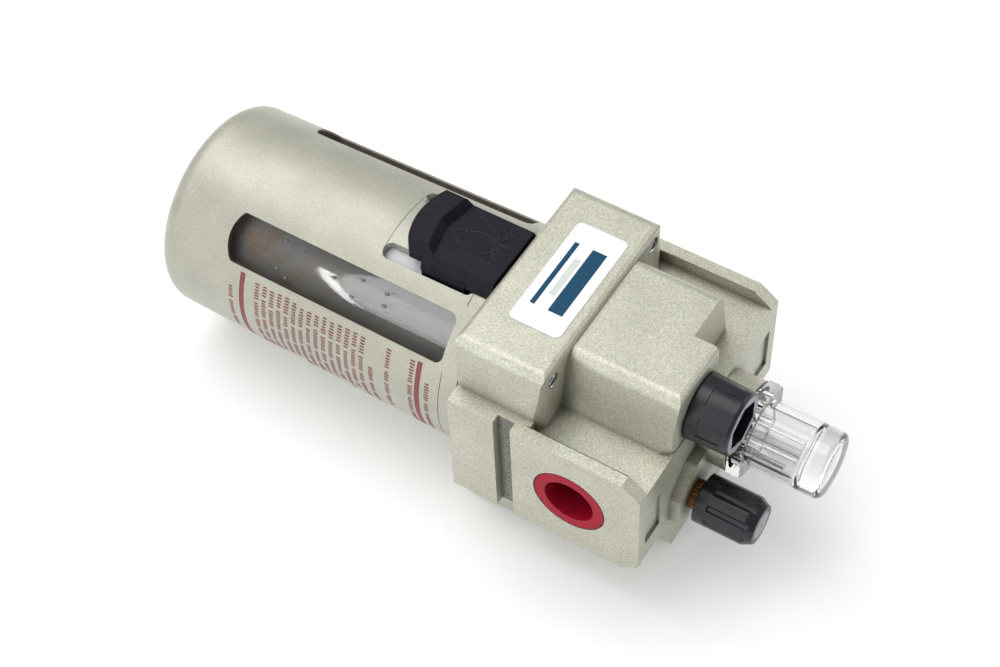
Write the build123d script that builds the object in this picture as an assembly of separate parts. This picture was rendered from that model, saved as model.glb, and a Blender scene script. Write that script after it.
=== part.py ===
from build123d import *
import os
from math import cos, radians, sin, sqrt

# An air-line lubricator lying on its back. It is modelled about the bowl's axis, which runs along X,
# with the ports along Y and the label face up (+Z), and moved to its final frame when it is written.
# All sizes are in millimetres.

# ---- driving dimensions ----------------------------------------------------------------------
PORT_FACE_Y = 35.0          # half the distance over the two port faces
PORT_Z = -0.9               # height of the port axis against the bowl axis
PORT_R = 9.32               # G1/2 thread, minor radius
PORT_DEPTH = 15.0           # threaded length behind the counterbore
PORT_MOUTH_R = 10.0         # counterbore at the port face
PORT_MOUTH_DEPTH = 1.2
PASSAGE_R = 8.0             # air passage between the ports

FLANGE_TOP = 17.3           # port flange, front and back edges
FLANGE_BOTTOM = -19.1
FLANGE_X = (-34.0, 19.5)
FLANGE_T = 3.4              # thickness of the port flange beyond the shelf
FLANGE_CHAMFER_X = 5.1
FLANGE_CHAMFER_Z = 3.8
GROOVE_X = (-21.0, -16.2)   # upright groove across each port face
GROOVE_DEPTH = 2.6
SHELF_TOP = 13.5
SHELF_BOTTOM = -15.3

BOSS_X = (-35.6, -10.5)     # label boss and its twin at the back
BOSS_Z = 33.0
BOSS_HALF_TOP = 28.3
BOSS_HALF_FOOT = 30.2
BOSS_FOOT_Z = 15.0
BACK_REST_Z = -33.0         # the flat face that the part lies on
PLATEAU_END_X = 19.3        # middle block on the dome side of the boss
PLATEAU_Z = 31.4
PLATEAU_HALF_TOP = 16.7
PLATEAU_HALF_FOOT = 20.3
NOTCH_X = 12.5              # the block is cut away here to clear the dome
NOTCH_Y = 2.4
BRACKET_HOLE_Y = 24.0       # M5 bracket holes, front and back
BRACKET_HOLE_Z = 28.6
BRACKET_HOLE_R = 2.1
BRACKET_HOLE_DEPTH = 10.0

DOME_Y, DOME_Z = 5.4, 1.0   # sight dome axis
DOME_BOSS_R = 12.2
DOME_BOSS_X = 27.2
DOME_R = 8.9
DOME_END_X = 51.0
PLUG_Y, PLUG_Z = -6.5, 19.2  # oil filling plug axis
PLUG_X = (19.75, 31.0)
KNOB_Y, KNOB_Z = -11.8, -10.0  # adjusting knob axis
KNOB_X = (25.0, 40.9)
KNOB_BLOCK_X = 22.5

LEVER_END_X = -35.95        # deck's end, just short of the boss
LEVER_DECK_Z = 33.0
LEVER_GRIP_Z = 35.5
LEVER_LEG_X = (-56.0, -43.5)
LEVER_LEG_Y = (8.3, 11.4)

BODY_RIM_X = -36.0          # body's open end, round the bowl
BODY_RIM_R = 30.0
GUARD_TOP_X = -36.3
GUARD_BOTTOM_X = -130.2
GUARD_R_MID = 29.8          # outer radius at x = -50
GUARD_TAPER = 0.018         # radius lost for each millimetre towards the bottom
GUARD_WALL = 1.8
GUARD_EDGE_R = 5.0
WINDOW_X = (-106.8, -41.8)
WINDOW_BULGE = 2.1          # the window's bottom end is an arc that reaches this much further
WINDOW_ANGLE = (33.6, 60.0)  # from the front, to either side
LEVER_SLOT_X = (-68.0, -41.0)

BAYONET_R = 27.2            # body bore round the guard's collar
LUG_GROOVE_R = 28.6
LUG_GROOVE_X = (-31.0, -26.6)
SEAL_BORE_R = 25.3
SEAL_X = (-24.0, -15.0)
LUG_TURN = 45.0             # turn from locked to released

BOWL_R = 24.6
BOWL_WALL = 2.2
BOWL_BOTTOM_X = -127.8
BOWL_NECK_R = 24.95

SIPHON_Y, SIPHON_Z = 3.0, -17.0
SIPHON_R = 2.5

WHOLE_LENGTH_MID_X = (GUARD_BOTTOM_X + DOME_END_X) / 2


# ---- helpers -----------------------------------------------------------------------------------
def rod(radius, x0, x1, y=0.0, z=0.0):
    """Solid cylinder along X."""
    return Pos((x0 + x1) / 2, y, z) * Rot(0, 90, 0) * Cylinder(radius, x1 - x0)


def cone(radius0, radius1, x0, x1, y=0.0, z=0.0):
    """Solid frustum along X, radius0 at x0."""
    return Pos((x0 + x1) / 2, y, z) * Rot(0, 90, 0) * Cone(radius0, radius1, x1 - x0)


def cross_rod(radius, y0, y1, x=0.0, z=PORT_Z):
    """Solid cylinder along Y."""
    return Pos(x, (y0 + y1) / 2, z) * Rot(90, 0, 0) * Cylinder(radius, y1 - y0)


def block(x0, x1, y0, y1, z0, z1):
    return Pos((x0 + x1) / 2, (y0 + y1) / 2, (z0 + z1) / 2) * Box(x1 - x0, y1 - y0, z1 - z0)


def prism_x(points, x0, x1):
    """Outline given as (y, z) points, extruded along X."""
    face = Plane.YZ.offset(x0) * make_face(Polyline(*points, close=True))
    return extrude(face, x1 - x0)


def prism_y(points, y0, y1):
    """Outline given as (x, z) points, extruded along Y."""
    face = make_face(Polyline(*[(x, y0, z) for x, z in points], close=True))
    return extrude(face, y1 - y0, dir=(0, 1, 0))


def rounded_prism(outline, x0, x1, corner, edge=3.2, end_edge=1.6):
    """Outline of (y, z) points along X. Its long edges, its end edges and its upright corners are rounded."""
    face = make_face(Polyline(*outline, close=True))
    face = fillet([v for v in face.vertices() if abs(v.Y) > 20], edge)
    shape = extrude(Plane.YZ.offset(x0) * face, x1 - x0)
    half_y = max(y for y, z in outline)
    half_z = max(z for y, z in outline)
    side_view = extrude(RectangleRounded(x1 - x0, 2 * half_z, end_edge), half_y + 1, both=True)
    plan_view = extrude(RectangleRounded(x1 - x0, 2 * half_y, corner), half_z + 1, both=True)
    middle = Pos((x0 + x1) / 2, 0, 0)
    return shape & (middle * Rot(90, 0, 0) * side_view) & (middle * plan_view)


def hexagon(across_flats, x0, x1, y=0.0, z=0.0, turn=0.0):
    """Hexagonal prism along X; with no turn one corner points to +Z."""
    face = RegularPolygon(across_flats / sqrt(3), 6, rotation=90 + turn)
    return extrude(Plane.YZ.offset(x0) * Pos(y, z) * face, x1 - x0)


def sector(x0, x1, angle, width, radius=40.0):
    """Wedge about the bowl axis, its middle at angle from +Z towards +Y."""
    rim = [angle + width * (k / 4 - 0.5) for k in range(5)]
    points = [(0.0, 0.0)] + [(radius * sin(radians(a)), radius * cos(radians(a))) for a in rim]
    return prism_x(points, x0, x1)


def o_ring(major, minor, x, y=0.0, z=0.0):
    return Pos(x, y, z) * Rot(0, 90, 0) * Torus(major, minor)


def guard_r(x):
    return GUARD_R_MID + (x + 50.0) * GUARD_TAPER


def keep(shape, test):
    """The edges of shape whose centre passes test."""
    return [e for e in shape.edges() if test(e.center())]


# ---- body --------------------------------------------------------------------------------------
def twin_boss():
    foot, top = BOSS_HALF_FOOT, BOSS_HALF_TOP
    outline = [(-top, BOSS_Z), (top, BOSS_Z), (foot, BOSS_FOOT_Z), (foot, -BOSS_FOOT_Z),
               (top, BACK_REST_Z), (-top, BACK_REST_Z), (-foot, -BOSS_FOOT_Z), (-foot, BOSS_FOOT_Z)]
    return rounded_prism(outline, *BOSS_X, corner=4.0)


def plateau():
    foot, top = PLATEAU_HALF_FOOT, PLATEAU_HALF_TOP
    outline = [(-top, PLATEAU_Z), (top, PLATEAU_Z), (foot, SHELF_TOP), (foot, SHELF_BOTTOM),
               (top, -PLATEAU_Z), (-top, -PLATEAU_Z), (-foot, SHELF_BOTTOM), (-foot, SHELF_TOP)]
    shape = rounded_prism(outline, BOSS_X[1] - 8, PLATEAU_END_X, corner=3.6)
    shape -= block(NOTCH_X, 25, NOTCH_Y, 25, SHELF_TOP - 0.01, 40)
    return shape


def port_flanges():
    x0, x1 = FLANGE_X
    cx, cz = FLANGE_CHAMFER_X, FLANGE_CHAMFER_Z
    outline = [(x0, FLANGE_BOTTOM), (x1 - cx, FLANGE_BOTTOM), (x1, FLANGE_BOTTOM + cz),
               (x1, FLANGE_TOP - cz), (x1 - cx, FLANGE_TOP), (x0, FLANGE_TOP)]
    inner = PORT_FACE_Y - FLANGE_T
    shape = prism_y(outline, inner, PORT_FACE_Y) + prism_y(outline, -PORT_FACE_Y, -inner)
    shape += block(x0, BOSS_X[1] - 2, -inner, inner, FLANGE_BOTTOM, FLANGE_TOP)
    shape += block(BOSS_X[1] - 3, x1, -inner, inner, SHELF_BOTTOM, SHELF_TOP)
    for side in (-1, 1):
        y0, y1 = sorted((side * (PORT_FACE_Y - GROOVE_DEPTH), side * (PORT_FACE_Y + 1)))
        shape -= block(*GROOVE_X, y0, y1, FLANGE_BOTTOM - 1, FLANGE_TOP + 1)
        y0, y1 = sorted((side * 24.5, side * 31.6))
        shape -= block(x1 - 0.8, x1 + 1, y0, y1, -9.0, 5.0)
    return shape


def knob_block():
    """Block round the knob's gland, with one corner cut off."""
    outline = [(2.0, -15.5), (2.0, 2.1), (-12.0, 2.1), (-19.4, -5.3), (-19.4, -15.5)]
    shape = prism_x(outline, 10, KNOB_BLOCK_X)
    shape = fillet(keep(shape, lambda c: c.Y < -11 and abs(c.X - 16.25) < 1), 1.2)
    return shape - rod(9.3, PLATEAU_END_X, 25, PLUG_Y, PLUG_Z)


def body_casting():
    """Die-cast body: bosses, flanges, dome boss and knob block, with every bore cut in it."""
    shape = twin_boss() + plateau() + port_flanges()
    shape += rod(BODY_RIM_R, BODY_RIM_X, BOSS_X[1] - 2)
    shape += knob_block()
    shape += rod(DOME_BOSS_R, 12, DOME_BOSS_X, DOME_Y, DOME_Z)

    # bowl side: seal bore, bayonet groove and its three entry slots
    shape -= rod(BAYONET_R, BODY_RIM_X - 1, SEAL_X[0])
    shape -= rod(LUG_GROOVE_R, *LUG_GROOVE_X)
    for k in range(3):
        slot = rod(LUG_GROOVE_R, BODY_RIM_X - 1, LUG_GROOVE_X[0] + 0.1)
        shape -= slot & sector(BODY_RIM_X - 1, LUG_GROOVE_X[0] + 0.1, 120 * k + LUG_TURN, 28)
    shape -= rod(SEAL_BORE_R, SEAL_X[0] - 0.1, SEAL_X[1])
    shape -= rod(20.0, SEAL_X[1] - 0.1, -12.0)

    # ports and the air passage
    shape -= cross_rod(PASSAGE_R, -22, 22)
    for side in (-1, 1):
        mouth = PORT_FACE_Y - PORT_MOUTH_DEPTH
        y0, y1 = sorted((side * (mouth - PORT_DEPTH), side * mouth))
        shape -= cross_rod(PORT_R, y0, y1)
        y0, y1 = sorted((side * mouth, side * (PORT_FACE_Y + 1)))
        shape -= cross_rod(PORT_MOUTH_R, y0, y1)
    shape -= cross_rod(PASSAGE_R + 0.7, 12.6, 14.0)

    # dome bore, O-ring groove and drip passage
    shape -= rod(8.68, 16.0, DOME_BOSS_X + 1, DOME_Y, DOME_Z)
    shape -= rod(11.4, DOME_BOSS_X - 1.7, DOME_BOSS_X + 1, DOME_Y, DOME_Z) - rod(
        9.35, DOME_BOSS_X - 1.7, DOME_BOSS_X + 1, DOME_Y, DOME_Z)
    shape -= rod(1.6, 0, 17, DOME_Y, DOME_Z)
    shape -= rod(0.8, 11.0, 17, DOME_Y - 4.5, DOME_Z - 2.8)

    # oil filling bore, down to the bowl
    shape -= rod(6.27, 5.0, 25, PLUG_Y, PLUG_Z)
    shape -= rod(8.4, PLATEAU_END_X - 1.2, 25, PLUG_Y, PLUG_Z)
    shape -= rod(4.0, -13.0, 6.0, PLUG_Y, PLUG_Z)

    # needle bore, gland thread and cross drilling to the dome
    shape -= rod(3.2, 14.0, KNOB_BLOCK_X + 1, KNOB_Y, KNOB_Z)
    shape -= rod(1.2, 9.5, 15.0, KNOB_Y, KNOB_Z)

    # siphon socket and the drilling above it
    shape -= rod(SIPHON_R + 0.03, -13.0, -6.0, SIPHON_Y, SIPHON_Z)
    shape -= rod(2.0, -7.0, 1.0, SIPHON_Y, SIPHON_Z)
    shape -= rod(1.2, 0.0, 10.0, SIPHON_Y, SIPHON_Z)

    # bracket holes, front and back
    for y in (-BRACKET_HOLE_Y, BRACKET_HOLE_Y):
        for z in (-BRACKET_HOLE_Z, BRACKET_HOLE_Z):
            shape -= rod(BRACKET_HOLE_R, BOSS_X[1] - BRACKET_HOLE_DEPTH, BOSS_X[1] + 1, y, z)
    return shape


# ---- air passage -------------------------------------------------------------------------------
def venturi_insert():
    """Throat between the ports, wide at both ends."""
    shape = cross_rod(7.95, -12.0, 10.0)
    shape -= cross_rod(3.6, -13, 11)
    for side, end in ((-1, -12.0), (1, 10.0)):
        mouth = Pos(0, end - side * 3.5, PORT_Z) * Rot(-90 * side, 0, 0) * Cone(3.6, 6.6, 7.02)
        shape -= mouth
    return shape - rod(1.4, 2.0, 9.0, DOME_Y, DOME_Z)


def damper_flap():
    """Soft flap: a thin disc cut round its tongue."""
    shape = cross_rod(7.9, 10.1, 11.1)
    ring = cross_rod(5.6, 10.0, 11.2) - cross_rod(4.8, 10.0, 11.2)
    return shape - (ring - block(-6, 6, 9, 12, PORT_Z + 3.2, PORT_Z + 8))


def retaining_ring():
    """Snap ring in the groove behind the flap."""
    shape = cross_rod(8.6, 12.7, 13.9) - cross_rod(6.9, 12, 15)
    return shape - block(-1.6, 1.6, 12, 15, PORT_Z - 10, PORT_Z - 5)


def port_cap():
    """Hollow plug that keeps dirt out of the port until the pipe is fitted."""
    face = -PORT_FACE_Y + 0.05
    shape = cross_rod(9.25, face + 0.5, face + 12.5) + cross_rod(9.7, face, face + 1.0)
    return shape - cross_rod(6.8, face - 1, face + 11.0)


# ---- guard, bowl and lever ---------------------------------------------------------------------
def window(side):
    """Rounded slot through the guard wall, cut square to its middle, with a bulged bottom end."""
    middle = sum(WINDOW_ANGLE) / 2
    half = guard_r(-75) * sin(radians((WINDOW_ANGLE[1] - WINDOW_ANGLE[0]) / 2))
    x0, x1 = WINDOW_X
    bottom_end = ThreePointArc((x0, half), (x0 - WINDOW_BULGE, 0), (x0, -half))
    outline = bottom_end + Polyline((x0, -half), (x1, -half), (x1, half), (x0, half))
    face = make_face(outline)
    face = fillet([v for v in face.vertices() if v.X < x0 + 1], 1.4)
    face = fillet([v for v in face.vertices() if v.X > x1 - 0.1], 2.2)
    return Rot(-side * middle, 0, 0) * Pos(0, 0, 21) * extrude(face, 14)


def bowl_guard():
    """Tapered guard with its inner bayonet collar."""
    top_r, bottom_r = guard_r(GUARD_TOP_X), guard_r(GUARD_BOTTOM_X)
    outer = cone(bottom_r, top_r, GUARD_BOTTOM_X, GUARD_TOP_X)
    outer = fillet(keep(outer, lambda c: c.X < GUARD_BOTTOM_X + 1), GUARD_EDGE_R)
    floor_x = GUARD_BOTTOM_X + GUARD_WALL
    inner = cone(guard_r(floor_x) - GUARD_WALL, top_r - GUARD_WALL, floor_x, GUARD_TOP_X - 1.8)
    inner = fillet(keep(inner, lambda c: c.X < floor_x + 1), GUARD_EDGE_R - GUARD_WALL)
    shape = outer - inner
    shape -= rod(6.0, GUARD_BOTTOM_X - 1, floor_x + 1)
    shape += rod(26.9, GUARD_TOP_X - 1.8, -25.2)
    shape -= rod(25.25, GUARD_TOP_X - 2.5, -25)
    for k in range(3):
        lug = rod(28.3, LUG_GROOVE_X[0] + 0.3, LUG_GROOVE_X[1] - 0.4) - rod(26.5, -32, -26)
        shape += lug & sector(-32, -26, 120 * k, 24)
    for side in (-1, 1):
        shape -= window(side)
    # two slots that the lever's legs slide in
    for side in (-1, 1):
        slot = extrude(SlotOverall(LEVER_SLOT_X[1] - LEVER_SLOT_X[0], 4.2), 12)
        shape -= Pos(sum(LEVER_SLOT_X) / 2, side * 10.0, 22) * slot
    # stop for the lever spring, standing inside the guard
    shape += block(-74.0, -72.0, -3, 3, 25.4, 28.2)
    return shape


def oil_bowl():
    """Clear bowl: one turned shell with a seal groove in its neck."""
    outer = rod(BOWL_R, BOWL_BOTTOM_X, -26)
    outer = fillet(keep(outer, lambda c: c.X < BOWL_BOTTOM_X + 1), 9.0)
    inner = rod(BOWL_R - BOWL_WALL, BOWL_BOTTOM_X + BOWL_WALL, -17)
    inner = fillet(keep(inner, lambda c: c.X < BOWL_BOTTOM_X + 4), 7.0)
    outer += rod(BOWL_NECK_R, -28.0, -18.0)
    outer += rod(26.7, -25.1, -24.1)
    outer -= rod(30, -22.2, -19.6) - rod(23.1, -22.2, -19.6)
    return outer - inner


def bowl_o_ring():
    return o_ring(24.1, 0.9, -20.9)


def siphon_tube():
    return rod(SIPHON_R, -115.0, -8.5, SIPHON_Y, SIPHON_Z) - rod(1.6, -116, -8, SIPHON_Y, SIPHON_Z)


def siphon_strainer():
    shape = rod(4.2, -119.5, -109.5, SIPHON_Y, SIPHON_Z)
    shape = fillet(keep(shape, lambda c: c.X < -119), 1.2)
    return shape - rod(SIPHON_R + 0.02, -115.0, -109, SIPHON_Y, SIPHON_Z)


def check_seat():
    shape = rod(SIPHON_R - 0.05, -8.4, -7.1, SIPHON_Y, SIPHON_Z)
    return shape - cone(0.8, 1.5, -8.5, -7.0, SIPHON_Y, SIPHON_Z)


def check_ball():
    return Pos(-5.6, SIPHON_Y, SIPHON_Z) * Sphere(1.6)


def lever_grip():
    """Thumb grip: convex back, level top, and a front that slopes down to the deck either side of a bend."""
    top, back_x, ridge_x, foot_x, half = LEVER_GRIP_Z, -60.6, -57.0, -55.2, 9.6
    back = ThreePointArc((back_x, -half), (back_x - 2.6, 0), (back_x, half))
    outline = back + Polyline((back_x, half), (ridge_x + 1.9, half), (ridge_x, 0), (ridge_x + 1.9, -half),
                              (back_x, -half))
    shape = extrude(Plane.XY.offset(24) * make_face(outline), top - 24)
    ramp = [(back_x, 0, 24), (back_x, 0, top), (ridge_x, 0, top), (foot_x, 0, LEVER_DECK_Z), (foot_x, 0, 24)]
    for side in (-1, 1):
        slant = Vector(1.9, side * half, 0)
        shape += extrude(make_face(Polyline(*ramp, close=True)), slant.length, dir=slant)
    sides = prism_x([(-11.5, 24), (-8.6, top), (8.6, top), (11.5, 24)], -70, -50)
    shape &= sides
    return fillet(keep(shape, lambda c: c.Z > top - 0.1 and c.X < ridge_x), 0.8)


def lock_lever():
    """Sliding lever: a deck up to the boss, a thumb grip at the bowl end and two legs."""
    deck = prism_x([(-12.7, 24), (-9.4, LEVER_DECK_Z), (9.4, LEVER_DECK_Z), (12.7, 24)], -56.4, LEVER_END_X)
    deck = fillet(keep(deck, lambda c: c.Z > LEVER_DECK_Z - 0.1 and abs(c.Y) > 9), 0.7)
    shape = deck + lever_grip()
    shape -= cone(guard_r(-80) + 0.35, guard_r(-30) + 0.35, -80, -30)
    # legs through the guard's slots, joined to the plate inside
    for side in (-1, 1):
        y0, y1 = sorted((side * LEVER_LEG_Y[0], side * LEVER_LEG_Y[1]))
        shape += block(*LEVER_LEG_X, y0, y1, 25.0, 29.0)
    return shape


def lever_retainer():
    """Pale plate between guard and bowl, seen through the slots, that clips on the lever's legs."""
    outer_r = guard_r(-76) - GUARD_WALL - 0.4
    shape = rod(outer_r, -71.0, -43.6) - rod(25.1, -72, -43)
    shape &= block(-72, -43, -12.6, 12.6, 20, 30)
    shape -= block(-72, -58.5, -4.4, 4.4, 20, 30)
    for side in (-1, 1):
        y0, y1 = sorted((side * LEVER_LEG_Y[0], side * LEVER_LEG_Y[1]))
        shape -= block(*LEVER_LEG_X, y0, y1, 20, 30)
    return shape


def lever_spring():
    """Compression spring between the stop in the guard and the retainer plate."""
    coil_r, wire_r, x0, x1 = 0.95, 0.22, -71.6, -58.8
    path = Helix(pitch=1.6, height=x1 - x0 - 2 * wire_r, radius=coil_r)
    start = path @ 0
    section = Plane(origin=start, z_dir=path % 0) * Circle(wire_r)
    spring = sweep(section, path=path, is_frenet=True)
    return Pos(x0 + wire_r, 0, 26.4) * Rot(0, 90, 0) * spring


# ---- dome side ---------------------------------------------------------------------------------
def fill_plug():
    """Black oil filling plug with a hexagon socket and shallow pads round its side."""
    x0, x1 = PLUG_X
    head = cone(8.75, 8.35, x0, x1, PLUG_Y, PLUG_Z)
    head = fillet(keep(head, lambda c: c.X > x1 - 0.5), 0.9)
    head -= hexagon(11.0, x1 - 8.0, x1 + 1, PLUG_Y, PLUG_Z)
    head -= rod(7.9, x0 - 1, x0 + 0.55, PLUG_Y, PLUG_Z) - rod(6.0, x0 - 1, x0 + 0.55, PLUG_Y, PLUG_Z)
    shallow_ring = rod(10, x0 + 3.0, x1 - 2.2) - cone(8.42, 8.17, x0 + 3.0, x1 - 2.2)
    pad = shallow_ring & block(x0, x1, -2.7, 2.7, 5.0, 10.0)
    for k in range(6):
        head -= Pos(0, PLUG_Y, PLUG_Z) * Rot(60 * k + 12, 0, 0) * pad
    return head + rod(6.2, 7.0, x0 + 1, PLUG_Y, PLUG_Z) - rod(3.2, 6.0, 18.0, PLUG_Y, PLUG_Z)


def fill_plug_o_ring():
    return o_ring(7.05, 0.72, PLUG_X[0] - 0.55, PLUG_Y, PLUG_Z)


def sight_dome():
    """Clear dome: threaded neck, hexagonal flange and a thick round end."""
    flange = hexagon(22.0, DOME_BOSS_X + 0.15, 31.0, DOME_Y, DOME_Z)
    flange &= cone(13.4, 12.3, DOME_BOSS_X - 1, 31.2, DOME_Y, DOME_Z)
    dome = rod(DOME_R, 30, DOME_END_X, DOME_Y, DOME_Z)
    dome = fillet(keep(dome, lambda c: c.X > DOME_END_X - 1), 1.6)
    neck = rod(8.6, 18.6, 30, DOME_Y, DOME_Z)
    cavity = rod(6.7, 17, DOME_END_X - 5.6, DOME_Y, DOME_Z)
    cavity = fillet(keep(cavity, lambda c: c.X > DOME_END_X - 6), 2.0)
    return flange + dome + neck - cavity


def dome_o_ring():
    return o_ring(10.38, 0.85, DOME_BOSS_X - 0.82, DOME_Y, DOME_Z)


def drip_tube():
    shape = rod(3.2, 16.3, 43.0, DOME_Y, DOME_Z) + rod(5.9, 16.05, 17.6, DOME_Y, DOME_Z)
    shape -= rod(1.5, 15, 47, DOME_Y, DOME_Z)
    return shape - rod(0.8, 15, 18, DOME_Y - 4.5, DOME_Z - 2.8)


def drip_pin():
    return rod(0.74, 12.0, 40.0, DOME_Y - 4.5, DOME_Z - 2.8)


def adjusting_needle():
    shape = rod(2.0, 14.6, KNOB_X[1] - 4, KNOB_Y, KNOB_Z)
    return shape + cone(0.5, 1.1, 10.2, 14.6, KNOB_Y, KNOB_Z)


def needle_gland():
    """Knurled brass nut that guides the stem."""
    flange = rod(3.5, KNOB_BLOCK_X + 0.02, KNOB_BLOCK_X + 1.7, KNOB_Y, KNOB_Z)
    for k in range(18):
        flange -= Pos(0, KNOB_Y, KNOB_Z) * Rot(20 * k, 0, 0) * block(20, 26, -0.16, 0.16, 3.15, 4)
    shape = flange + rod(3.15, 18.2, KNOB_BLOCK_X + 0.5, KNOB_Y, KNOB_Z)
    return shape - rod(2.06, 18, 26, KNOB_Y, KNOB_Z)


def needle_o_ring():
    return o_ring(2.62, 0.5, 16.2, KNOB_Y, KNOB_Z)


def adjusting_knob():
    """Fluted knob, pressed on the needle's stem."""
    x0, x1 = KNOB_X
    shape = rod(6.5, x0, x1, KNOB_Y, KNOB_Z)
    shape = chamfer(keep(shape, lambda c: c.X > x1 - 0.5), 2.6, 1.3)
    flute = rod(0.95, x0 + 3.2, x1 + 1, 0, 6.75)
    for k in range(9):
        shape -= Pos(0, KNOB_Y, KNOB_Z) * Rot(40 * k + 10, 0, 0) * flute
    return shape - rod(2.0, x0 - 1, KNOB_X[1] - 4, KNOB_Y, KNOB_Z)


def label_plate():
    """Thin sticker on the boss."""
    sheet = extrude(RectangleRounded(14.3, 34.0, 1.6), 0.15)
    return Pos(-21.05, 1.0, BOSS_Z) * sheet


PARTS = [body_casting, venturi_insert, damper_flap, retaining_ring, port_cap,
         bowl_guard, oil_bowl, bowl_o_ring, siphon_tube, siphon_strainer, check_seat, check_ball,
         lock_lever, lever_retainer, lever_spring,
         fill_plug, fill_plug_o_ring, sight_dome, dome_o_ring, drip_tube, drip_pin,
         adjusting_needle, needle_gland, needle_o_ring, adjusting_knob, label_plate]

os.makedirs("parts", exist_ok=True)
PLACE = Pos(-WHOLE_LENGTH_MID_X, 0, -BACK_REST_Z)
for make in PARTS:
    export_step(PLACE * make(), f"parts/{make.__name__}.step")
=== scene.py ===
import math
import random

import bmesh
import bpy
from mathutils import Matrix, Vector


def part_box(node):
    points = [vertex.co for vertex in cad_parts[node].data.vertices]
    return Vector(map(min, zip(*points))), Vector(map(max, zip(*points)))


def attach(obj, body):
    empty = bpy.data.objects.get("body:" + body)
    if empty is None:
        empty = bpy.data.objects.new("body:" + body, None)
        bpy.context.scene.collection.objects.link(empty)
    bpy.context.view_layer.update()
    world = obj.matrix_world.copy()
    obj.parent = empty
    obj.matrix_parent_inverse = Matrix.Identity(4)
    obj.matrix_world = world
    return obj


# An air-line lubricator lying on its back. Lengths are in metres, angles in degrees.
# The bowl's axis runs along X, the label face looks up, and the frame gives every place.

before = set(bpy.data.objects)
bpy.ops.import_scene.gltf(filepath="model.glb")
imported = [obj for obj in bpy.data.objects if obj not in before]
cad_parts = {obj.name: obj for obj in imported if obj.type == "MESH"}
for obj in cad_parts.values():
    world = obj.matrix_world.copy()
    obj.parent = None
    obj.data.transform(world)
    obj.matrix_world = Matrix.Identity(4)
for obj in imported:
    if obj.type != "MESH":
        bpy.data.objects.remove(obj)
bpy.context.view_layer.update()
MM = 0.001

# ---- places taken from the frame ---------------------------------------------------------------
GUARD_LO, GUARD_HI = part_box("bowl_guard")
BODY_LO, BODY_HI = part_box("body_casting")
AXIS_Z = (GUARD_LO.z + GUARD_HI.z) / 2      # height of the bowl axis
GUARD_TOP_R = (GUARD_HI.y - GUARD_LO.y) / 2  # guard's outer radius at its body end
GUARD_TOP_X = BODY_LO.x - 0.3 * MM           # x of that end
GUARD_TAPER = 0.018                          # radius lost per metre towards the bottom


def node_centre(name):
    lo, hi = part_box(name)
    return (lo + hi) / 2


def guard_radius(x):
    return GUARD_TOP_R + (x - GUARD_TOP_X) * GUARD_TAPER


# ---- camera ------------------------------------------------------------------------------------
def make_camera():
    data = bpy.data.cameras.new("camera")
    data.lens = 73.04
    data.sensor_width = 36.0
    data.clip_start, data.clip_end = 0.01, 20.0
    camera = bpy.data.objects.new("camera", data)
    bpy.context.collection.objects.link(camera)
    camera.location = (BODY_LO.x + 0.1726, -0.2604, 0.4482)
    camera.rotation_euler = [math.radians(a) for a in (37.11, 1.815, 31.95)]
    bpy.context.scene.camera = camera


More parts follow.
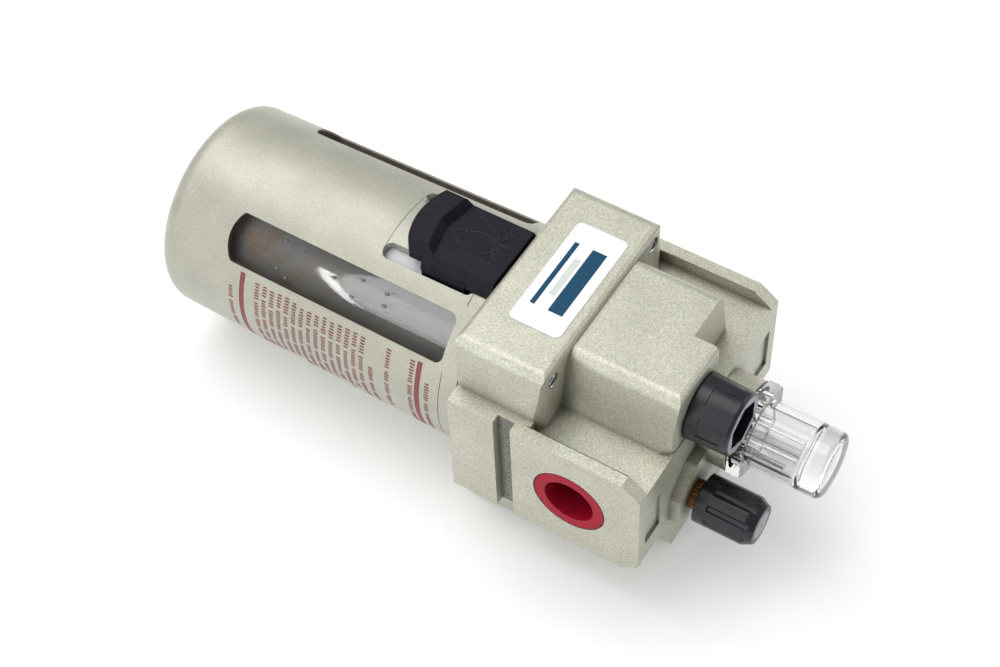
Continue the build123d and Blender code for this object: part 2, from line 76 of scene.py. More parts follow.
# ---- materials ---------------------------------------------------------------------------------
class Nodes:
    """A short way to build a node material on one Principled shader."""

    def __init__(self, name, **values):
        self.material = bpy.data.materials.new(name)
        self.material.use_nodes = True
        self.tree = self.material.node_tree
        self.shader = self.tree.nodes["Principled BSDF"]
        for key, value in values.items():
            self.shader.inputs[key.replace("_", " ")].default_value = value
        self.place = None

    def add(self, kind, inputs=None, **settings):
        node = self.tree.nodes.new(kind)
        for key, value in settings.items():
            setattr(node, key, value)
        for key, value in (inputs or {}).items():
            if isinstance(value, bpy.types.NodeSocket):
                self.tree.links.new(value, node.inputs[key])
            else:
                node.inputs[key].default_value = value
        return node

    def where(self):
        """Object coordinates, which stay with the piece in every pose."""
        if self.place is None:
            self.place = self.add("ShaderNodeTexCoord").outputs["Object"]
        return self.place

    def noise(self, size, detail=3.0, stretch=(1, 1, 1)):
        """Noise whose grains are about size across."""
        scale = [s / size for s in stretch]
        scaled = self.add("ShaderNodeMapping", {"Vector": self.where(), "Scale": scale})
        node = self.add("ShaderNodeTexNoise", {"Vector": scaled.outputs[0], "Scale": 1.0, "Detail": detail})
        return node.outputs["Fac"]

    def cells(self, size):
        scaled = self.add("ShaderNodeMapping", {"Vector": self.where(), "Scale": [1 / size] * 3})
        return self.add("ShaderNodeTexVoronoi", {"Vector": scaled.outputs[0], "Scale": 1.0})

    def ramp(self, fac, low, high, start=0.3, end=0.7):
        node = self.add("ShaderNodeValToRGB", {"Fac": fac})
        for element, spot, colour in zip(node.color_ramp.elements, (start, end), (low, high)):
            element.position = spot
            element.color = (*colour, 1.0) if len(colour) == 3 else colour
        return node.outputs["Color"]

    def span(self, fac, low, high):
        """fac, from 0 to 1, stretched over low to high."""
        node = self.add("ShaderNodeMapRange", {"Value": fac, "To Min": low, "To Max": high})
        return node.outputs["Result"]

    def mix(self, fac, first, second, blend="MIX"):
        node = self.add("ShaderNodeMix", data_type="RGBA", blend_type=blend)
        for socket, value in ((node.inputs[0], fac), (node.inputs[6], first), (node.inputs[7], second)):
            if isinstance(value, bpy.types.NodeSocket):
                self.tree.links.new(value, socket)
            else:
                socket.default_value = value if isinstance(value, float) else (*value, 1.0)
        return node.outputs[2]

    def bump(self, height, distance, strength=1.0, under=None):
        inputs = {"Height": height, "Distance": distance, "Strength": strength}
        if under is not None:
            inputs["Normal"] = under
        return self.add("ShaderNodeBump", inputs).outputs["Normal"]

    def soft_edges(self, radius):
        """Rounds the light on sharp edges, as a casting's or moulding's small radius does."""
        return self.add("ShaderNodeBevel", {"Radius": radius}, samples=6).outputs["Normal"]

    def set(self, **links):
        for key, socket in links.items():
            self.tree.links.new(socket, self.shader.inputs[key.replace("_", " ")])
        return self.material


def paint_material(name, light, dark, grain, bump, roughness, edge, reach):
    """Champagne metallic paint: bright and dark flakes, a slow cloud, and painted shade that darkens
    corners and recesses.
    """
    m = Nodes(name, Metallic=0.35, Coat_Weight=0.12, Coat_Roughness=0.3)
    flakes = m.ramp(m.cells(grain).outputs["Color"], dark, light, 0.15, 0.85)
    cloud = m.ramp(m.noise(11 * MM, 2.0), [0.93] * 3, [1.05] * 3)
    tone = m.mix(1.0, flakes, cloud, "MULTIPLY")
    rough = m.span(m.noise(grain * 1.5, 2.0), roughness - 0.08, roughness + 0.12)
    # painted shade: ambient occlusion darkens the paint colour in corners and recesses
    painted_crevice_shade = m.add("ShaderNodeAmbientOcclusion", {"Distance": reach}, samples=6).outputs["AO"]
    tone = m.mix(1.0, tone, m.ramp(painted_crevice_shade, (0.36, 0.345, 0.30), [1.0] * 3, 0.3, 0.82), "MULTIPLY")
    normal = m.bump(m.noise(grain * 1.4, 3.0), bump, 0.7, m.soft_edges(edge))
    return m.set(Base_Color=tone, Roughness=rough, Normal=normal)


def black_plastic(name, roughness=0.28, grain=0.12 * MM, speck=0.03, shine=0.5):
    """Satin moulding with a faint blue cast, fine scuffs and pale dust."""
    m = Nodes(name, Specular_IOR_Level=shine)
    base = m.ramp(m.noise(3 * MM), (0.005, 0.005, 0.010), (0.010, 0.010, 0.018))
    dust = m.ramp(m.noise(0.5 * MM, 4.0), [0.0] * 3, [1.0] * 3, 0.66, 0.74)
    tone = m.mix(m.span(dust, 0.0, speck), base, (0.5, 0.5, 0.55))
    scuffs = m.noise(1.1 * MM, 4.0, stretch=(0.3, 1.4, 1.0))
    rough = m.span(scuffs, roughness - 0.1, roughness + 0.16)
    normal = m.bump(m.noise(grain, 2.0), 0.02 * MM, 0.5, m.soft_edges(0.16 * MM))
    return m.set(Base_Color=tone, Roughness=rough, Normal=normal)


def clear_plastic(name, tint, clear, roughness, haze_size, stain=None):
    """Clear moulding; clear is the share of light that goes through, the rest is milky haze.
    stain is a stretch of x over which an oily amber residue fades out."""
    m = Nodes(name, Transmission_Weight=clear, IOR=1.57)
    haze = m.noise(haze_size, 4.0)
    tone = m.ramp(haze, [0.94 * t for t in tint], tint)
    if stain is not None:
        x0, x1 = stain
        along = m.add("ShaderNodeSeparateXYZ", {"Vector": m.where()}).outputs["X"]
        near_end = m.add("ShaderNodeMapRange", {"Value": along, "From Min": x0, "From Max": x1,
                                                "To Min": 1.0, "To Max": 0.0}).outputs["Result"]
        blotch = m.ramp(m.noise(7 * MM, 4.0), [0.0] * 3, [1.0] * 3, 0.46, 0.66)
        amount = m.add("ShaderNodeMath", {0: near_end, 1: blotch}, operation="MULTIPLY").outputs[0]
        tone = m.mix(amount, tone, (0.86, 0.62, 0.44))
    streaks = m.noise(0.6 * MM, 3.0, stretch=(0.06, 1, 1))
    rough = m.span(streaks, roughness * 0.4, roughness * 1.7)
    return m.set(Base_Color=tone, Roughness=rough)


def turned_metal(name, light, dark, roughness):
    m = Nodes(name, Metallic=1.0)
    rings = m.noise(0.25 * MM, 2.0, stretch=(1, 0.1, 0.1))
    tone = m.ramp(rings, dark, light)
    normal = m.bump(rings, 0.02 * MM, 0.4, m.soft_edges(0.1 * MM))
    return m.set(Base_Color=tone, Roughness=m.span(rings, roughness - 0.06, roughness + 0.1), Normal=normal)


def plain_material(name, light, dark, roughness, size=1.5 * MM, bump=0.02 * MM, reach=None, **values):
    """Even material with faint spots; with reach, painted shade darkens recesses of about that depth."""
    m = Nodes(name, **values)
    spots = m.noise(size)
    tone = m.ramp(spots, dark, light)
    if reach is not None:
        # painted shade: ambient occlusion darkens the colour in recesses
        painted_hollow_shade = m.add("ShaderNodeAmbientOcclusion", {"Distance": reach}, samples=6).outputs["AO"]
        tone = m.mix(1.0, tone, m.ramp(painted_hollow_shade, [0.12] * 3, [1.0] * 3, 0.05, 0.75), "MULTIPLY")
    normal = m.bump(m.noise(size / 5), bump, 0.5, m.soft_edges(0.15 * MM))
    return m.set(Base_Color=tone,
                 Roughness=m.span(spots, roughness - 0.05, roughness + 0.08), Normal=normal)


def make_materials():
    return {
        "body": paint_material("body_paint", (0.64, 0.635, 0.53), (0.37, 0.365, 0.29),
                               0.20 * MM, 0.026 * MM, 0.36, 0.08 * MM, 4.5 * MM),
        "guard": paint_material("guard_paint", (0.52, 0.515, 0.44), (0.385, 0.38, 0.31),
                                0.17 * MM, 0.012 * MM, 0.42, 0.12 * MM, 2.4 * MM),
        "black": black_plastic("black_plastic"),
        # lighter than the lever's black: painted highlight on the relief's ridges
        "relief": plain_material("lever_relief", (0.030, 0.030, 0.040), (0.016, 0.016, 0.024), 0.34),
        "lever": black_plastic("lever_plastic", roughness=0.46, grain=0.3 * MM, speck=0.04, shine=0.17),
        "bowl": clear_plastic("bowl_plastic", (0.84, 0.85, 0.82), 0.86, 0.025, 5 * MM,
                              stain=(WINDOW_BOTTOM + 14 * MM, WINDOW_BOTTOM + 34 * MM)),
        "dome": clear_plastic("dome_plastic", (0.97, 0.97, 0.965), 0.985, 0.012, 4 * MM),
        "white": plain_material("white_plastic", (0.80, 0.80, 0.77), (0.70, 0.70, 0.67), 0.45),
        "pale": plain_material("pale_plastic", (0.70, 0.69, 0.72), (0.62, 0.61, 0.65), 0.38),
        # painted shade: with reach, the red goes darker deep inside the cap's recess
        "red": plain_material("red_plastic", (0.40, 0.004, 0.026), (0.33, 0.003, 0.019), 0.5,
                              reach=11 * MM, Specular_IOR_Level=0.2),
        "rubber": plain_material("rubber", (0.022, 0.022, 0.024), (0.012, 0.012, 0.013), 0.6),
        "steel": turned_metal("steel", (0.66, 0.66, 0.68), (0.50, 0.50, 0.52), 0.26),
        "brass": turned_metal("brass", (0.46, 0.23, 0.085), (0.10, 0.045, 0.015), 0.30),
        "sinter": plain_material("sintered_bronze", (0.55, 0.30, 0.16), (0.24, 0.12, 0.06), 0.6,
                                 size=0.5 * MM, bump=0.15 * MM, Metallic=0.6),
        "film": plain_material("label_film", (0.90, 0.905, 0.93), (0.86, 0.87, 0.90), 0.32, size=6 * MM),
        "mark_blue": plain_material("label_mark", (0.005, 0.070, 0.140), (0.004, 0.055, 0.110), 0.5,
                                    Specular_IOR_Level=0.2),
        "mark_pale": plain_material("label_band", (0.66, 0.70, 0.67), (0.60, 0.64, 0.61), 0.4),
        "maroon": plain_material("print_maroon", (0.27, 0.060, 0.060), (0.20, 0.040, 0.045), 0.5),
        "shade": plain_material("seam_shade", (0.16, 0.155, 0.125), (0.10, 0.095, 0.075), 0.6),
        "knob_face": plain_material("knob_face", (0.46, 0.44, 0.45), (0.30, 0.285, 0.295), 0.35),
        "rim": plain_material("plug_rim", (0.40, 0.42, 0.46), (0.27, 0.29, 0.33), 0.4, size=0.8 * MM),
        "groove": plain_material("groove_floor", (0.36, 0.35, 0.31), (0.07, 0.066, 0.056), 0.6,
                                 size=0.45 * MM, bump=0.08 * MM),
        "slit": plain_material("window_edge", (0.075, 0.062, 0.045), (0.040, 0.032, 0.022), 0.6),
        "chrome": turned_metal("chrome", (0.42, 0.43, 0.46), (0.10, 0.10, 0.12), 0.10),
    }


NODE_LOOKS = {
    "body_casting": "body", "bowl_guard": "guard", "oil_bowl": "bowl", "sight_dome": "dome",
    "drip_tube": "dome", "lock_lever": "lever", "fill_plug": "black", "adjusting_knob": "black",
    "port_cap": "red", "label_plate": "film", "adjusting_needle": "brass", "needle_gland": "brass",
    "check_seat": "brass", "siphon_strainer": "sinter", "siphon_tube": "white",
    "venturi_insert": "white", "damper_flap": "rubber", "bowl_o_ring": "rubber",
    "fill_plug_o_ring": "rubber", "dome_o_ring": "rubber", "needle_o_ring": "rubber",
    "retaining_ring": "steel", "check_ball": "steel", "lever_retainer": "pale",
    "lever_spring": "steel", "drip_pin": "chrome",
}


def dress_nodes(looks):
    for name, look in NODE_LOOKS.items():
        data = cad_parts[name].data
        data.materials.clear()
        data.materials.append(looks[look])


# ---- mesh helpers ------------------------------------------------------------------------------
def new_piece(name, mesh, material, body):
    piece = bpy.data.objects.new(name, mesh)
    bpy.context.collection.objects.link(piece)
    mesh.materials.append(material)
    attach(piece, body)
    return piece


def guard_patch(bm, x0, x1, start, end, side, lift=0.03 * MM, steps=None):
    """A thin printed strip on the guard, from start to end degrees round from the label face."""
    steps = steps or max(1, round((end - start) / 3))
    rows = []
    for k in range(steps + 1):
        angle = math.radians(start + (end - start) * k / steps)
        rows.append([])
        for x in (x0, x1):
            for depth in (lift, -0.05 * MM):
                r = guard_radius(x) + depth
                rows[-1].append(bm.verts.new((x, side * r * math.sin(angle), AXIS_Z + r * math.cos(angle))))
    for a, b in zip(rows, rows[1:]):
        for i, j in ((0, 1), (1, 3), (3, 2), (2, 0)):
            bm.faces.new((a[i], a[j], b[j], b[i]))
    for row in (rows[0], rows[-1]):
        bm.faces.new((row[0], row[1], row[3], row[2]))


def finish_mesh(bm, name, smooth=False):
    bmesh.ops.recalc_face_normals(bm, faces=bm.faces)
    mesh = bpy.data.meshes.new(name)
    bm.to_mesh(mesh)
    bm.free()
    for polygon in mesh.polygons:
        polygon.use_smooth = smooth
    return mesh


# ---- pieces ------------------------------------------------------------------------------------
BOSS_END_X = BODY_LO.x + 25.5 * MM          # the boss's face towards the dome
WINDOW_TOP = GUARD_TOP_X + (-41.8 + 36.3) * MM
WINDOW_BOTTOM = GUARD_TOP_X + (-106.8 + 36.3) * MM
WINDOW_MIDDLE = math.radians(46.8)          # from the label face round to each window's middle line
WINDOW_SPREAD = math.radians(13.2)          # from that line to the window's long edges
GUARD_WALL = 1.8 * MM
MID_Z = (BODY_LO.z + BODY_HI.z) / 2         # body's middle, front to back
SOCKET_HALF = 5.5 * MM                      # half the plug socket's width across its flats
RIM_R = 7.55 * MM                           # radius of the plug's flat end
GROOVE_X = (15.0, 19.8)                     # upright groove of a port face, from the body's open end
GROOVE_DEPTH = 2.6 * MM
LEDGE_IN = 3.28 * MM                        # from a port face to the step down to its ledge
FLANGE_FRONT, FLANGE_BACK = 17.3 * MM, -19.1 * MM   # port flange's edges, from the body's middle


def make_print(looks):
    """Level bars and rows of plain dashes, between each window and the back of the guard."""
    rng = random.Random(4)
    bar = 1.45 * MM
    top_bar = WINDOW_TOP - 5.5 * MM
    bottom_bar = WINDOW_BOTTOM + 4.6 * MM
    short_rows = ((-3.5, 74), (40.8, 81), (45.7, 64.5), (52.8, 64), (57.7, 73))
    for side, side_name in ((-1, "near"), (1, "far")):
        bm = bmesh.new()
        for x in (top_bar, bottom_bar):
            guard_patch(bm, x - bar / 2, x + bar / 2, 63.0, 119.0, side)
        mesh = finish_mesh(bm, "level_bars")
        new_piece(f"level_bars_{side_name}", mesh, looks["maroon"], "bowl_set")

        bm = bmesh.new()
        rows = [(4.8 + 2.36 * k, rng.uniform(64.5, 67)) for k in range(15)]
        for along, angle in rows + list(short_rows):
            x = bottom_bar + along * MM
            last = rng.uniform(107, 117)
            word = rng.randint(3, 7)
            while angle < last:
                dash_row(bm, rng, x, angle, min(angle + 0.9, last), side)
                word -= 1
                if word < 0:
                    word = rng.randint(3, 7)
                    angle += 1.6
                angle += 1.75
        mesh = finish_mesh(bm, "mark_rows")
        new_piece(f"mark_rows_{side_name}", mesh, looks["maroon"], "bowl_set")


def dash_row(bm, rng, x, start, end, side):
    """One small upright dash, a little uneven in height."""
    height = rng.uniform(0.5, 0.72) * MM
    guard_patch(bm, x - height, x + height, start, end, side, steps=1)


def thread(name, centre, axis, radius, depth, pitch, length, material, body, inward=False):
    """Helical ridge with a triangular section, along axis through centre."""
    bm = bmesh.new()
    steps = 40
    turns = length / pitch
    direction = Vector(axis)
    across = direction.orthogonal().normalized()
    other = direction.cross(across)
    tip = -depth if inward else depth
    rings = []
    for k in range(int(turns * steps) + 1):
        angle = 2 * math.pi * k / steps
        along = -length / 2 + pitch * k / steps
        out = across * math.cos(angle) + other * math.sin(angle)
        fade = min(1.0, k / 12, (turns * steps - k) / 12 + 0.01)
        ring = []
        for offset, rise in ((-0.42, 0.0), (0.0, tip * fade), (0.42, 0.0), (0.0, -tip * 0.15)):
            ring.append(bm.verts.new(centre + direction * (along + offset * pitch) + out * (radius + rise)))
        rings.append(ring)
    for a, b in zip(rings, rings[1:]):
        for i in range(4):
            bm.faces.new((a[i], a[(i + 1) % 4], b[(i + 1) % 4], b[i]))
    bm.faces.new(rings[0])
    bm.faces.new(rings[-1])
    return new_piece(name, finish_mesh(bm, name, smooth=False), material, body)


def make_threads(looks):
    gland_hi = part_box("needle_gland")[1]
    knob_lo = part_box("adjusting_knob")[0]
    centre = node_centre("adjusting_knob")
    centre.x = (gland_hi.x + knob_lo.x) / 2 + 0.4 * MM
    thread("stem_thread", centre, (1, 0, 0), 1.98 * MM, 0.28 * MM, 0.5 * MM, 2.4 * MM,
           looks["brass"], "needle_set")
    cap = node_centre("port_cap")
    middle = Vector((cap.x, BODY_HI.y - 9.0 * MM, cap.z))
    thread("outlet_thread", middle, (0, 1, 0), 9.32 * MM, 0.5 * MM, 1.81 * MM, 13.0 * MM,
           looks["body"], "body", inward=True)
    for side, side_name in ((-1, "near"), (1, "far")):
        for face, face_name in ((1, "front"), (-1, "back")):
            hole = Vector((BOSS_END_X - 3.4 * MM, side * 24.0 * MM, MID_Z + face * 28.6 * MM))
            thread(f"bracket_thread_{face_name}_{side_name}", hole, (1, 0, 0), 2.1 * MM, 0.28 * MM,
                   0.8 * MM, 6.2 * MM, looks["steel"], "body", inward=True)


def gear_ring(bm, centre, x0, x1, inner, outer, teeth):
    """Ring round the X axis with pointed teeth, as straight knurling."""
    count = 2 * teeth
    loops = []
    for x, shrink in ((x0, 0.0), (x0, 1.0), (x1, 1.0), (x1, 0.0)):
        loop = []
        for k in range(count):
            angle = 2 * math.pi * k / count
            peak = outer if k % 2 else outer - 0.35 * MM
            r = peak if shrink else inner
            loop.append(bm.verts.new((x, centre.y + r * math.cos(angle), centre.z + r * math.sin(angle))))
        loops.append(loop)
    for a, b in zip(loops, loops[1:] + loops[:1]):
        for k in range(count):
            bm.faces.new((a[k], a[(k + 1) % count], b[(k + 1) % count], b[k]))


def make_knurl(looks):
    """Knurled rim round the gland's outer end."""
    lo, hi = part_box("needle_gland")
    centre = (lo + hi) / 2
    bm = bmesh.new()
    for step in range(3):
        x = hi.x - (1.5 - 0.5 * step) * MM
        gear_ring(bm, centre, x, x + 0.38 * MM, 3.2 * MM, 3.95 * MM, 22)
    new_piece("gland_knurl", finish_mesh(bm, "gland_knurl"), looks["brass"], "body")


def block(bm, corners, low, high):
    """Upright block on a polygon of (x, y) corners."""
    foot = [bm.verts.new((x, y, low)) for x, y in corners]
    head = [bm.verts.new((x, y, high)) for x, y in corners]
    bm.faces.new(foot)
    bm.faces.new(head)
    for k in range(len(corners)):
        n = (k + 1) % len(corners)
        bm.faces.new((foot[k], foot[n], head[n], head[k]))


def ridge(bm, points, width, foot, height):
    """Low ridge with a narrow crest along a line of (x, y) points on the plane z = foot."""
    for (x0, y0), (x1, y1) in zip(points, points[1:]):
        along = Vector((x1 - x0, y1 - y0)).normalized()
        across = Vector((-along.y, along.x)) * width / 2
        grow = along * width * 0.3
        a, b = Vector((x0, y0)) - grow, Vector((x1, y1)) + grow
        base = [bm.verts.new((*p, foot)) for p in (a - across, b - across, b + across, a + across)]
        crest = [bm.verts.new((*p, foot + height)) for p in
                 (a - across * 0.3, b - across * 0.3, b + across * 0.3, a + across * 0.3)]
        bm.faces.new(base)
        bm.faces.new(crest)
        for k in range(4):
            n = (k + 1) % 4
            bm.faces.new((base[k], base[n], crest[n], crest[k]))


def shift(points):
    """Points given from the bowl end of the boss, in millimetres, as places in the frame."""
    return [(BODY_LO.x + x * MM, y * MM) for x, y in points]


def make_lever_relief(looks):
    """Moulded slide mark on the lever's deck and the grip's small dents, in a lighter black that paints the
    highlight on their ridges.
    """
    lo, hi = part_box("lock_lever")
    deck = hi.z - 2.52 * MM
    bm = bmesh.new()
    ridge(bm, shift(((-16.9, 0.6), (-10.3, 2.9), (-2.6, 1.2))), 0.34 * MM, deck, 0.26 * MM)
    diamond = ((-7.4, 4.6), (-5.6, 7.5), (-3.5, 4.9), (-5.9, 2.4), (-7.4, 4.6))
    ridge(bm, shift(diamond), 0.34 * MM, deck, 0.26 * MM)
    ridge(bm, shift(((-7.5, -3.6), (-5.7, -1.4), (-3.3, -3.8))), 0.34 * MM, deck, 0.26 * MM)
    ridge(bm, shift(((-6.6, -4.6), (-4.9, -5.6), (-4.0, -4.2))), 0.3 * MM, deck, 0.22 * MM)
    ridge(bm, shift(((-14.0, -6.4), (-13.2, -7.1))), 0.3 * MM, deck, 0.22 * MM)
    rng = random.Random(9)
    for k in range(46):
        x = lo.x + rng.uniform(11.0, 25.5) * MM
        y = rng.uniform(-7.6, 7.6) * MM
        size = rng.uniform(0.10, 0.26) * MM
        corners = [(x - size, y), (x, y - size), (x + size, y), (x, y + size)]
        block(bm, corners, deck - 0.05 * MM, deck + 0.07 * MM)
    new_piece("lever_relief", finish_mesh(bm, "lever_relief"), looks["relief"], "lever")


def make_guard_details(looks):
    """Collar seam round the guard, the U seam behind the lever and two dark nicks."""
    bm = bmesh.new()
    seam = GUARD_TOP_X - 4.6 * MM
    for start, end in ((-28, 28), (63, 297)):
        guard_patch(bm, seam - 0.1 * MM, seam + 0.1 * MM, start, end, -1, lift=0.02 * MM)
    slot_end = BODY_LO.x - 32.0 * MM
    across = math.degrees(12.6 * MM / guard_radius(slot_end))
    guard_patch(bm, slot_end - 0.09 * MM, slot_end + 0.09 * MM, 4.5 - across, across - 4.5, -1,
                lift=0.02 * MM)
    for x, angle, width in ((-30.8, -17.0, 3.2), (-29.2, 0.5, 1.6)):
        middle = BODY_LO.x + x * MM
        guard_patch(bm, middle - 0.22 * MM, middle + 0.22 * MM, angle, angle + width, -1, lift=0.05 * MM)
    new_piece("guard_seams", finish_mesh(bm, "guard_seams"), looks["shade"], "bowl_set")


def window_outline(inset):
    """Window's outline as (x, distance from its middle line), moved inwards by inset."""
    half = guard_radius(GUARD_TOP_X - 38.7 * MM) * math.sin(WINDOW_SPREAD)
    bulge, low_r, high_r = 2.1 * MM, 1.4 * MM, 2.2 * MM
    arc_r = (half ** 2 + bulge ** 2) / (2 * bulge)
    arc_x = WINDOW_BOTTOM - bulge + arc_r
    low_x = arc_x - math.sqrt((arc_r - low_r) ** 2 - (half - low_r) ** 2)
    swing = math.atan2(half - low_r, arc_x - low_x)
    turn = 180 - math.degrees(swing)
    arcs = [(WINDOW_TOP - high_r, half - high_r, high_r, 0, 90), (low_x, half - low_r, low_r, 90, turn),
            (arc_x, 0, arc_r, turn, 180)]
    upper = []
    for x, across, r, start, end in arcs:
        for k in range(9):
            angle = math.radians(start + (end - start) * k / 8)
            upper.append((x + (r - inset) * math.cos(angle), across + (r - inset) * math.sin(angle)))
    lower = [(x, -across) for x, across in upper[-2::-1]]
    return upper + lower


def make_window_walls(looks):
    """Dark lining on the cut walls of both windows. A painted rim stays bare outside it."""
    bm = bmesh.new()
    for side, bare in ((-1, 0.12 * MM), (1, 0.5 * MM)):
        out = Vector((0, side * math.sin(WINDOW_MIDDLE), math.cos(WINDOW_MIDDLE)))
        across = Vector((0, side * math.cos(WINDOW_MIDDLE), -math.sin(WINDOW_MIDDLE)))
        rings = []
        for cut, edge in zip(window_outline(0.0), window_outline(0.07 * MM)):
            ring = []
            for (x, t), wall in ((cut, bare), (edge, bare), (edge, GUARD_WALL), (cut, GUARD_WALL)):
                reach = math.sqrt((guard_radius(x) - wall) ** 2 - t ** 2)
                ring.append(bm.verts.new(Vector((x, 0, AXIS_Z)) + out * reach + across * t))
            rings.append(ring)
        for a, b in zip(rings, rings[1:] + rings[:1]):
            for i in range(4):
                bm.faces.new((a[i], a[(i + 1) % 4], b[(i + 1) % 4], b[i]))
    new_piece("window_walls", finish_mesh(bm, "window_walls"), looks["slit"], "bowl_set")


def make_bubbles(looks):
    """Small blisters and pale nicks on the bowl behind each window."""
    rng = random.Random(12)
    lo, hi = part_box("oil_bowl")
    axis = (lo + hi) / 2
    radius = 24.6 * MM
    for side, side_name in ((-1, "near"), (1, "far")):
        bm = bmesh.new()
        for k in range(26):
            x = WINDOW_BOTTOM + rng.uniform(10, 60) * MM
            angle = math.radians(rng.uniform(38, 60))
            size = rng.choice((0.14, 0.18, 0.22, 0.5)) * MM
            place = Vector((x, side * radius * math.sin(angle), axis.z + radius * math.cos(angle)))
            turn = Matrix.Translation(place) @ Matrix.Diagonal((1.5, 1.0, 1.0, 1.0))
            bmesh.ops.create_icosphere(bm, subdivisions=2, radius=size, matrix=turn)
        mesh = finish_mesh(bm, "bowl_blisters", smooth=True)
        new_piece(f"bowl_blisters_{side_name}", mesh, looks["dome"], "bowl_set")


def make_knob_face(looks):
    """Paler end disc of the knob, with a short slot left open in it."""
    lo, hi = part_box("adjusting_knob")
    centre = (lo + hi) / 2
    bm = bmesh.new()
    steps = 48
    slot = [(-0.28, -1.0), (0.28, -1.0), (0.28, 1.0), (-0.28, 1.0)]
    outer, inner = [], []
    for k in range(steps):
        angle = 2 * math.pi * k / steps
        direction = Vector((math.cos(angle), math.sin(angle)))
        reach = min(0.28 / max(abs(direction.x), 1e-6), 1.0 / max(abs(direction.y), 1e-6))
        outer.append(direction * 3.75)
        inner.append(direction * reach)
    layers = []
    for depth in (-0.05, 0.03):
        x = hi.x + depth * MM
        layers.append([[bm.verts.new((x, centre.y + p.x * MM, centre.z + p.y * MM)) for p in ring]
                       for ring in (outer, inner)])
    (low_out, low_in), (high_out, high_in) = layers
    for k in range(steps):
        n = (k + 1) % steps
        bm.faces.new((high_out[k], high_out[n], high_in[n], high_in[k]))
        bm.faces.new((low_out[k], low_out[n], low_in[n], low_in[k]))
        bm.faces.new((low_out[k], low_out[n], high_out[n], high_out[k]))
        bm.faces.new((low_in[k], low_in[n], high_in[n], high_in[k]))
    new_piece("knob_face", finish_mesh(bm, "knob_face"), looks["knob_face"], "needle_set")


def make_plug_rim(looks):
    """Worn grey face between the plug's hexagon socket and its rounded edge."""
    lo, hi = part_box("fill_plug")
    centre = (lo + hi) / 2
    bm = bmesh.new()
    steps = 72
    rings = []
    for x in (hi.x - 0.02 * MM, hi.x + 0.03 * MM):
        outer, inner = [], []
        for k in range(steps):
            angle = 2 * math.pi * k / steps
            # distance to the side of a hexagon that has a flat towards +Y
            turn = (angle + math.pi / 6) % (math.pi / 3) - math.pi / 6
            reach = SOCKET_HALF / math.cos(turn)
            outward = Vector((0, math.cos(angle), math.sin(angle)))
            base = Vector((x, centre.y, centre.z))
            outer.append(bm.verts.new(base + outward * RIM_R))
            inner.append(bm.verts.new(base + outward * reach))
        rings.append((outer, inner))
    (low_out, low_in), (high_out, high_in) = rings
    for k in range(steps):
        n = (k + 1) % steps
        bm.faces.new((high_out[k], high_out[n], high_in[n], high_in[k]))
        bm.faces.new((low_out[k], low_out[n], low_in[n], low_in[k]))
        bm.faces.new((low_out[k], low_out[n], high_out[n], high_out[k]))
        bm.faces.new((low_in[k], low_in[n], high_in[n], high_in[k]))
    new_piece("plug_rim", finish_mesh(bm, "plug_rim"), looks["rim"], "fill_plug_set")


def make_groove_floors(looks):
    """Dark, rough floor sheet laid in the upright groove of each port face."""
    rng = random.Random(21)
    bm = bmesh.new()
    x0, x1 = BODY_LO.x + GROOVE_X[0] * MM, BODY_LO.x + GROOVE_X[1] * MM
    low, high = MID_Z - 19.0 * MM, MID_Z + 17.2 * MM
    across, up = 8, 60
    for side in (-1, 1):
        floor = side * (BODY_HI.y - GROOVE_DEPTH)
        grid = []
        for i in range(across + 1):
            column = []
            for k in range(up + 1):
                edge = i in (0, across) or k in (0, up)
                rise = 0.0 if edge else rng.uniform(0.02, 0.13) * MM
                x = x0 + (x1 - x0) * i / across
                y = floor + side * (0.02 * MM + rise)
                column.append(bm.verts.new((x, y, low + (high - low) * k / up)))
            grid.append(column)
        for a, b in zip(grid, grid[1:]):
            for k in range(up):
                bm.faces.new((a[k], b[k], b[k + 1], a[k + 1]))
        corners = [grid[0][0], grid[-1][0], grid[-1][-1], grid[0][-1]]
        back = [bm.verts.new((c.co.x, floor - side * 0.05 * MM, c.co.z)) for c in corners]
        bm.faces.new(back)
        rims = [[column[0] for column in grid], grid[-1],
                [column[-1] for column in grid][::-1], grid[0][::-1]]
        for k, rim in enumerate(rims):
            bm.faces.new(list(rim) + [back[(k + 1) % 4], back[k]])
    new_piece("groove_floors", finish_mesh(bm, "groove_floors"), looks["groove"], "body")


def make_ledge_shadow_strips(looks):
    """Fine dark strip of painted shadow in the corner where each port face's bevel meets the ledge behind
    it.
    """
    bm = bmesh.new()
    for side in (-1, 1):
        for face, edge in ((1, FLANGE_FRONT), (-1, FLANGE_BACK)):
            y = side * (BODY_HI.y - LEDGE_IN)
            x0, x1 = BOSS_END_X - 3.0 * MM, BODY_LO.x + 50.5 * MM
            z = MID_Z + edge
            corners = [(x0, y - 0.1 * MM), (x1, y - 0.1 * MM), (x1, y + 0.1 * MM), (x0, y + 0.1 * MM)]
            block(bm, corners, min(z, z + face * 0.03 * MM) - 0.02 * MM, max(z, z + face * 0.03 * MM))
    new_piece("ledge_shadow_strips", finish_mesh(bm, "ledge_shadow_strips"), looks["shade"], "body")


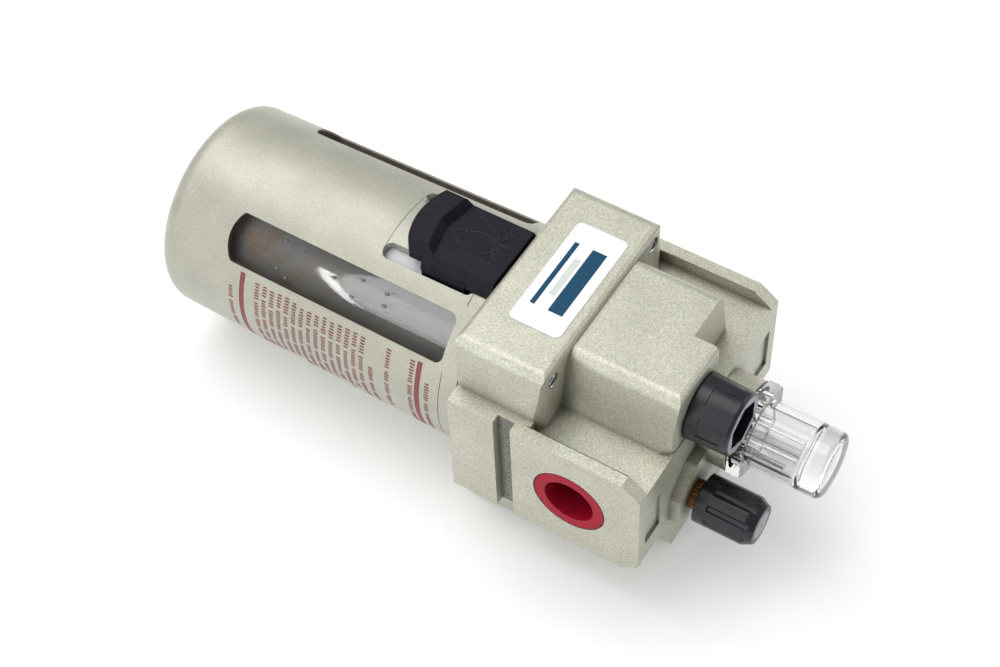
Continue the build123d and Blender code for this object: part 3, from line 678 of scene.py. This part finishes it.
def make_parting_lines(looks):
    """Thin flash lines that the die leaves up the block's two side walls."""
    bm = bmesh.new()
    x = BOSS_END_X + 1.1 * MM
    for side in (-1, 1):
        foot = [(19.05, 17.5), (17.35, 29.0)]
        for face in (1, -1):
            wall = [(side * (y + d) * MM, MID_Z + face * z * MM) for d in (-0.3, 0.14) for y, z in foot]
            ends = []
            for dx in (-0.1, 0.1):
                order = (wall[0], wall[1], wall[3], wall[2])
                ends.append([bm.verts.new((x + dx * MM, y, z)) for y, z in order])
            bm.faces.new(ends[0])
            bm.faces.new(ends[1])
            for k in range(4):
                n = (k + 1) % 4
                bm.faces.new((ends[0][k], ends[0][n], ends[1][n], ends[1][k]))
    new_piece("parting_lines", finish_mesh(bm, "parting_lines"), looks["body"], "body")


def make_label_marks(looks):
    """Plain bars in place of the printed name."""
    lo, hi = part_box("label_plate")
    centre = (lo + hi) / 2
    bars = (("label_marks", "mark_blue", ((0.0024, 0.0, 0.0215, 0.0040), (-0.0040, 0.0, 0.0215, 0.0013))),
            ("label_band", "mark_pale", ((-0.0012, 0.0, 0.0125, 0.0017),)))
    for name, look, sizes in bars:
        bm = bmesh.new()
        for x, y, length, width in sizes:
            corners = [(centre.x + x + sx * width / 2, centre.y + y + sy * length / 2)
                       for sx, sy in ((-1, -1), (1, -1), (1, 1), (-1, 1))]
            block(bm, corners, hi.z - 0.05 * MM, hi.z + 0.02 * MM)
        new_piece(name, finish_mesh(bm, name), looks[look], "body")


# ---- stage and light ---------------------------------------------------------------------------
def make_stage():
    bpy.ops.mesh.primitive_plane_add(size=4.0, location=(0, 0, 0))
    floor = bpy.context.object
    floor.name = "floor"
    m = Nodes("floor_paper", Roughness=0.8, Specular_IOR_Level=0.1, Emission_Strength=0.16)
    m.shader.inputs["Emission Color"].default_value = (1.0, 1.0, 1.0, 1.0)
    tone = m.ramp(m.noise(60 * MM), (0.90, 0.90, 0.905), (0.93, 0.93, 0.935))
    floor.data.materials.append(m.set(Base_Color=tone))


def area_light(name, top, bottom, width, shift, radiance):
    """Softbox facing the part. top and bottom end its upright centre line, which is then moved
    sideways by shift, to the right as the part sees it when shift is positive."""
    top, bottom = Vector(top), Vector(bottom)
    middle = (top + bottom) / 2
    upright = (top - bottom).normalized()
    away = middle - Vector((0, 0, 0.03))
    away = (away - upright * away.dot(upright)).normalized()
    sideways = upright.cross(away)
    data = bpy.data.lights.new(name, "AREA")
    data.shape = "RECTANGLE"
    data.size, data.size_y = width, (top - bottom).length
    data.energy = radiance * math.pi * data.size * data.size_y
    light = bpy.data.objects.new(name, data)
    bpy.context.collection.objects.link(light)
    turn = Matrix((sideways, upright, away)).transposed().to_4x4()
    light.matrix_world = Matrix.Translation(middle + sideways * shift) @ turn


def make_light():
    world = bpy.data.worlds.new("studio")
    bpy.context.scene.world = world
    world.use_nodes = True
    nodes, links = world.node_tree.nodes, world.node_tree.links
    place = nodes.new("ShaderNodeTexCoord")
    split = nodes.new("ShaderNodeSeparateXYZ")
    ramp = nodes.new("ShaderNodeValToRGB")
    links.new(place.outputs["Generated"], split.inputs[0])
    links.new(split.outputs["Z"], ramp.inputs["Fac"])
    links.new(ramp.outputs["Color"], nodes["Background"].inputs["Color"])
    ramp.color_ramp.elements[0].position = 0.06
    ramp.color_ramp.elements[0].color = (0.20, 0.20, 0.205, 1.0)
    ramp.color_ramp.elements[1].position = 0.55
    ramp.color_ramp.elements[1].color = (0.52, 0.52, 0.52, 1.0)
    nodes["Background"].inputs["Strength"].default_value = 1.0
    area_light("softbox_top", (-0.75, 0.30, 0.80), (-0.05, -0.12, 1.0), 0.85, 0.0, 2.6)
    edge_top, edge_bottom = (-0.48, -0.526, 1.01), (-0.397, -0.945, 0.005)
    area_light("softbox_front", edge_top, edge_bottom, 0.28, 0.15, 3.0)
    area_light("strip_front", (-0.44, -0.73, 0.52), edge_bottom, 0.014, 0.0, 10.0)
    area_light("softbox_back", (0.50, 0.85, 0.85), (0.50, 0.85, 0.35), 0.8, 0.0, 2.2)


make_camera()
LOOKS = make_materials()
dress_nodes(LOOKS)
make_print(LOOKS)
make_threads(LOOKS)
make_knurl(LOOKS)
make_lever_relief(LOOKS)
make_guard_details(LOOKS)
make_window_walls(LOOKS)
make_bubbles(LOOKS)
make_knob_face(LOOKS)
make_plug_rim(LOOKS)
make_groove_floors(LOOKS)
make_ledge_shadow_strips(LOOKS)
make_parting_lines(LOOKS)
make_label_marks(LOOKS)
make_stage()
make_light()
bpy.context.scene.view_settings.view_transform = "Standard"
